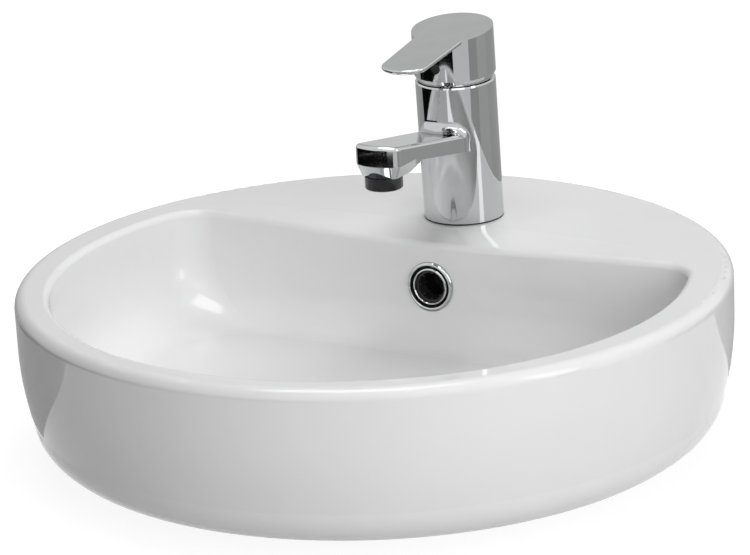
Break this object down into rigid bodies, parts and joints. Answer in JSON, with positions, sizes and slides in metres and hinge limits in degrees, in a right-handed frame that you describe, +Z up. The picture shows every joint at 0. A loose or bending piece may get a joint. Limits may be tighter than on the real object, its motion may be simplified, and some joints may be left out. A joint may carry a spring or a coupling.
{
  "type": "countertop basin",
  "caption": "Round glazed ceramic countertop basin with a D-shaped bowl, rear deck, chrome single-lever mixer tap, overflow ring and push-plug waste.",
  "frame": {"origin": "centre of the base ring, on the counter", "axes": "+Z up, the bowl's front and the spout face -Y, the tap deck is at +Y"},
  "size_m": [0.44, 0.44, 0.2392],
  "materials": {
    "glazed_white": "gloss",
    "polished_chrome": "mirror",
    "black_plastic": "matte",
    "white_plastic": "matte",
    "black_rubber": "matte",
    "plain_brass": "satin",
    "plain_steel": "satin",
    "disc_ceramic": "satin"
  },
  "bodies": {
    "root": {"basin": "glazed_white", "overflow_ring": "polished_chrome", "overflow_sleeve": "black_plastic", "waste_body": "polished_chrome", "waste_top_gasket": "black_rubber", "waste_lower_gasket": "black_rubber", "waste_nut": "plain_brass", "clicker_housing": "white_plastic", "plug_spring": "plain_steel", "tap_body": "polished_chrome", "tap_base_gasket": "black_rubber", "aerator_housing": "polished_chrome", "aerator_insert": "white_plastic", "aerator_washer": "black_rubber", "cartridge_seals": "black_rubber", "cartridge_base": "white_plastic", "fixed_ceramic_disc": "disc_ceramic", "cartridge_housing": "white_plastic", "cartridge_nut": "plain_brass", "mounting_stud": "plain_steel", "horseshoe_rubber": "black_rubber", "horseshoe_plate": "plain_steel", "mounting_nut": "plain_brass"},
    "rotor": {"stem_carrier": "white_plastic", "pivot_pin": "plain_steel"},
    "lever": {"handle_lever": "polished_chrome", "lever_stem": "plain_steel", "index_plug": "black_plastic", "handle_grub_screw": "plain_steel"},
    "disc": {"disc_carrier": "white_plastic", "moving_ceramic_disc": "disc_ceramic"},
    "plug": {"waste_plug": "polished_chrome", "plug_seal": "black_rubber", "plug_stem": "plain_steel"}
  },
  "joints": [
    {"name": "lever_turn", "type": "hinge", "parent": "root", "child": "rotor", "pos_m": [0, 0.123, 0.11], "axis": [0, -0.0523, 0.9986], "range_deg": [-45, 45]},
    {"name": "lever_lift", "type": "hinge", "parent": "rotor", "child": "lever", "pos_m": [0, 0.12448, 0.1965], "axis": [-1, 0, 0], "range_deg": [0, 18]},
    {"name": "disc_slide", "type": "slide", "parent": "rotor", "child": "disc", "axis": [0, -0.9986, -0.0523], "range_m": [0, 0.006]},
    {"name": "plug_press", "type": "slide", "parent": "root", "child": "plug", "axis": [0, 0, -1], "range_m": [0, 0.0055], "stiffness_N_per_m": 300, "springref_m": -0.01, "deforming": ["plug_spring"]}
  ],
  "couplings": [
    {"joint": "disc_slide", "follows": "lever_lift", "m_per_rad": 0.01775}
  ]
}
